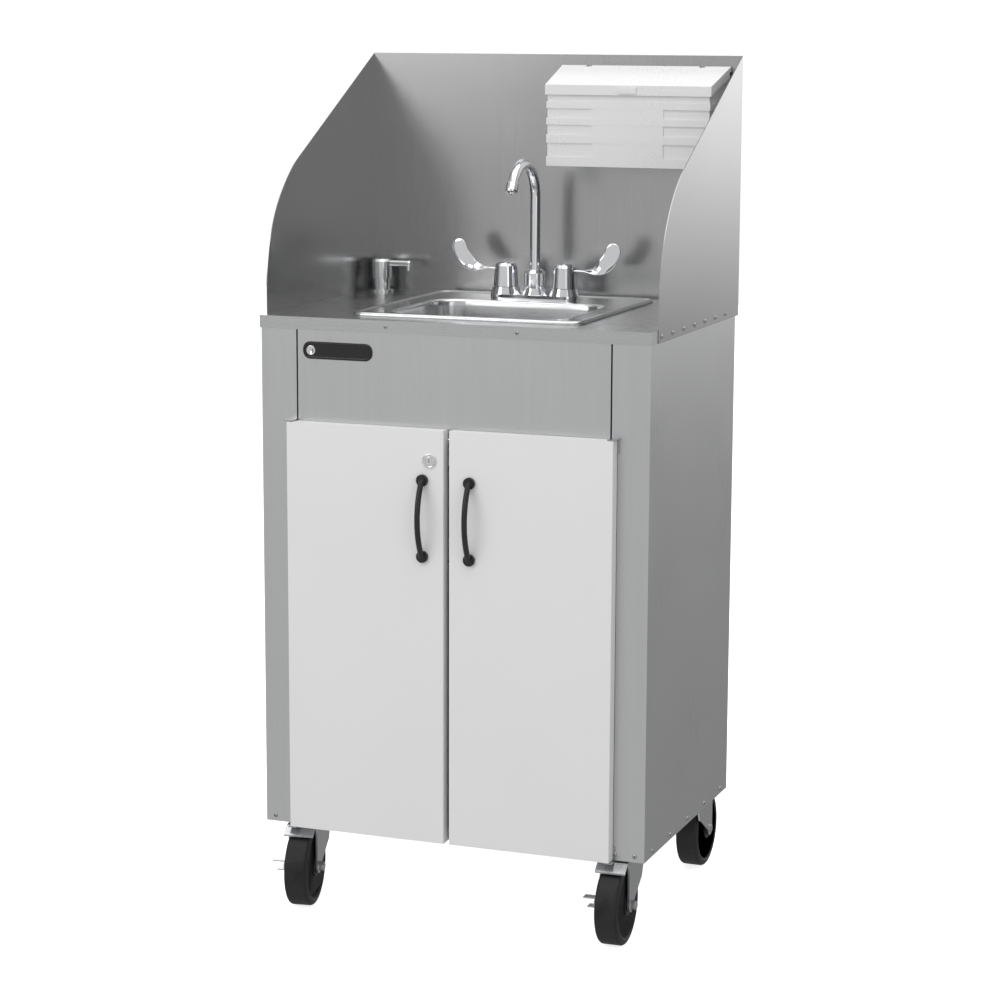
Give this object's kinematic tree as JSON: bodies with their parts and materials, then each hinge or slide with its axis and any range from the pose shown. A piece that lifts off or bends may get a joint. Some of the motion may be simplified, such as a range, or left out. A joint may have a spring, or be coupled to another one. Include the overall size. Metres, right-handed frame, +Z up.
{
  "type": "portable handwash sink",
  "caption": "Stainless wheeled cabinet with a drop-in basin, gooseneck faucet, soap pump, towel box, splash guards and tanks behind doors.",
  "frame": {"origin": "on the floor, under the middle of the whole object", "axes": "+X to the right seen from the front, +Y to the back, +Z up"},
  "size_m": [0.6456, 0.563, 1.3481],
  "materials": {
    "cabinet_steel": "brushed sheet, upright grain",
    "guard_steel": "brushed sheet, upright grain",
    "worktop_steel": "satin",
    "basin_steel": "satin with a polished rim",
    "faucet_chrome": "polished",
    "soap_chrome": "polished",
    "fastener_steel": "polished",
    "door_laminate": "matte laminate",
    "handle_black": "satin",
    "lock_chrome": "polished",
    "badge_black": "satin",
    "box_plastic": "moulded, slight sheen",
    "tank_clear": "natural blow-moulded",
    "tank_grey": "blow-moulded",
    "cap_blue": "ribbed",
    "pump_black": "satin",
    "heater_white": "gloss enamel",
    "hose_grey": "smooth",
    "brass_nut": "as machined",
    "bottle_white": "natural blow-moulded",
    "switch_grey": "satin",
    "inlet_black": "satin",
    "caster_zinc": "bright zinc",
    "wheel_rubber": "satin"
  },
  "bodies": {
    "cabinet": {"base_pan": "cabinet_steel", "left_side_panel": "cabinet_steel", "right_side_panel": "cabinet_steel", "rear_panel": "cabinet_steel", "front_apron": "cabinet_steel", "countertop": "worktop_steel", "left_splash": "guard_steel", "right_splash": "guard_steel", "back_splash": "guard_steel", "cabinet_screws": "fastener_steel", "sink_basin": "basin_steel", "sink_clips": "fastener_steel", "drain_flange": "faucet_chrome", "drain_hose": "hose_grey", "faucet_base": "faucet_chrome", "faucet_nuts": "brass_nut", "spout_nut": "faucet_chrome", "soap_collar": "soap_chrome", "soap_bottle": "bottle_white", "badge_plate": "badge_black", "towel_box": "box_plastic", "door_pivots": "fastener_steel", "fresh_tank": "tank_clear", "waste_tank": "tank_grey", "tank_caps": "cap_blue", "water_pump": "pump_black", "water_heater": "heater_white", "supply_hoses": "hose_grey", "electrical_box": "switch_grey", "power_inlet": "inlet_black", "caster_plates": "caster_zinc", "caster_bolts": "fastener_steel"},
    "left_door": {"left_door": "door_laminate", "left_handle": "handle_black", "lock_barrel": "lock_chrome"},
    "lock": {"lock_cam": "lock_chrome"},
    "right_door": {"right_door": "door_laminate", "right_handle": "handle_black"},
    "hot_handle": {"hot_hub": "faucet_chrome", "hot_blade": "faucet_chrome"},
    "cold_handle": {"cold_hub": "faucet_chrome", "cold_blade": "faucet_chrome"},
    "spout": {"gooseneck_spout": "faucet_chrome", "aerator": "faucet_chrome"},
    "soap_plunger": {"soap_stem": "soap_chrome"},
    "soap_head": {"soap_head": "soap_chrome"},
    "towel_lid": {"towel_lid": "box_plastic"},
    "strainer": {"strainer_basket": "faucet_chrome"},
    "rocker": {"rocker_switch": "inlet_black"},
    "front_left_caster": {"front_left_fork": "caster_zinc"},
    "front_left_wheel": {"front_left_wheel": "wheel_rubber"},
    "front_right_caster": {"front_right_fork": "caster_zinc"},
    "front_right_wheel": {"front_right_wheel": "wheel_rubber"},
    "rear_left_caster": {"rear_left_fork": "caster_zinc"},
    "rear_left_wheel": {"rear_left_wheel": "wheel_rubber"},
    "rear_right_caster": {"rear_right_fork": "caster_zinc"},
    "rear_right_wheel": {"rear_right_wheel": "wheel_rubber"},
    "left_brake": {"left_brake_lever": "caster_zinc"},
    "right_brake": {"right_brake_lever": "caster_zinc"}
  },
  "joints": [
    {"name": "left_door_hinge", "type": "hinge", "parent": "cabinet", "child": "left_door", "pos_m": [-0.264, -0.2505, 0.463], "axis": [0, 0, 1], "range_deg": [-110, 0]},
    {"name": "right_door_hinge", "type": "hinge", "parent": "cabinet", "child": "right_door", "pos_m": [0.264, -0.2505, 0.463], "axis": [0, 0, 1], "range_deg": [0, 110]},
    {"name": "lock_turn", "type": "hinge", "parent": "left_door", "child": "lock", "pos_m": [-0.027, -0.244, 0.742], "axis": [0, 1, 0], "range_deg": [0, 90]},
    {"name": "hot_handle_turn", "type": "hinge", "parent": "cabinet", "child": "hot_handle", "pos_m": [-0.0508, 0.136, 0.988], "axis": [0, 0, 1], "range_deg": [0, 90]},
    {"name": "cold_handle_turn", "type": "hinge", "parent": "cabinet", "child": "cold_handle", "pos_m": [0.0508, 0.136, 0.988], "axis": [0, 0, 1], "range_deg": [-90, 0]},
    {"name": "spout_swivel", "type": "hinge", "parent": "cabinet", "child": "spout", "pos_m": [0, 0.136, 1.038], "axis": [0, 0, 1], "range_deg": [-50, 40]},
    {"name": "soap_plunge", "type": "slide", "parent": "cabinet", "child": "soap_plunger", "axis": [0, 0, -1], "range_m": [0, 0.014], "stiffness_N_per_m": 300, "springref_m": -0.01},
    {"name": "soap_head_swivel", "type": "hinge", "parent": "soap_plunger", "child": "soap_head", "pos_m": [-0.29, 0.177, 0.988], "axis": [0, 0, 1], "range_deg": [-100, 40]},
    {"name": "towel_lid_hinge", "type": "hinge", "parent": "cabinet", "child": "towel_lid", "pos_m": [0.16, 0.2119, 1.3264], "axis": [-1, 0, 0], "range_deg": [0, 90]},
    {"name": "strainer_lift", "type": "slide", "parent": "cabinet", "child": "strainer", "axis": [0, 0, 1], "range_m": [0, 0.08]},
    {"name": "switch_rock", "type": "hinge", "parent": "cabinet", "child": "rocker", "pos_m": [0, 0.1698, 0.538], "axis": [-1, 0, 0], "range_deg": [0, 14]},
    {"name": "front_left_swivel", "type": "hinge", "parent": "cabinet", "child": "front_left_caster", "pos_m": [-0.266, -0.176, 0.14], "axis": [0, 0, 1], "continuous": true},
    {"name": "front_left_spin", "type": "hinge", "parent": "front_left_caster", "child": "front_left_wheel", "pos_m": [-0.25974, -0.21551, 0.0635], "axis": [0.9877, 0.1564, 0], "continuous": true},
    {"name": "front_right_swivel", "type": "hinge", "parent": "cabinet", "child": "front_right_caster", "pos_m": [0.266, -0.176, 0.14], "axis": [0, 0, 1], "continuous": true},
    {"name": "front_right_spin", "type": "hinge", "parent": "front_right_caster", "child": "front_right_wheel", "pos_m": [0.2674, -0.21598, 0.0635], "axis": [0.9994, 0.0349, 0], "continuous": true},
    {"name": "rear_left_swivel", "type": "hinge", "parent": "cabinet", "child": "rear_left_caster", "pos_m": [-0.266, 0.178, 0.14], "axis": [0, 0, 1], "continuous": true},
    {"name": "rear_left_spin", "type": "hinge", "parent": "rear_left_caster", "child": "rear_left_wheel", "pos_m": [-0.266, 0.218, 0.0635], "axis": [-1, 0, 0], "continuous": true},
    {"name": "rear_right_swivel", "type": "hinge", "parent": "cabinet", "child": "rear_right_caster", "pos_m": [0.266, 0.178, 0.14], "axis": [0, 0, 1], "continuous": true},
    {"name": "rear_right_spin", "type": "hinge", "parent": "rear_right_caster", "child": "rear_right_wheel", "pos_m": [0.266, 0.218, 0.0635], "axis": [-1, 0, 0], "continuous": true},
    {"name": "left_brake_rock", "type": "hinge", "parent": "front_left_caster", "child": "left_brake", "pos_m": [-0.29036, -0.22036, 0.0625], "axis": [-0.1564, 0.9877, 0], "range_deg": [-12, 12]},
    {"name": "right_brake_rock", "type": "hinge", "parent": "front_right_caster", "child": "right_brake", "pos_m": [0.23641, -0.21706, 0.0625], "axis": [-0.0349, 0.9994, 0], "range_deg": [-12, 12]}
  ]
}
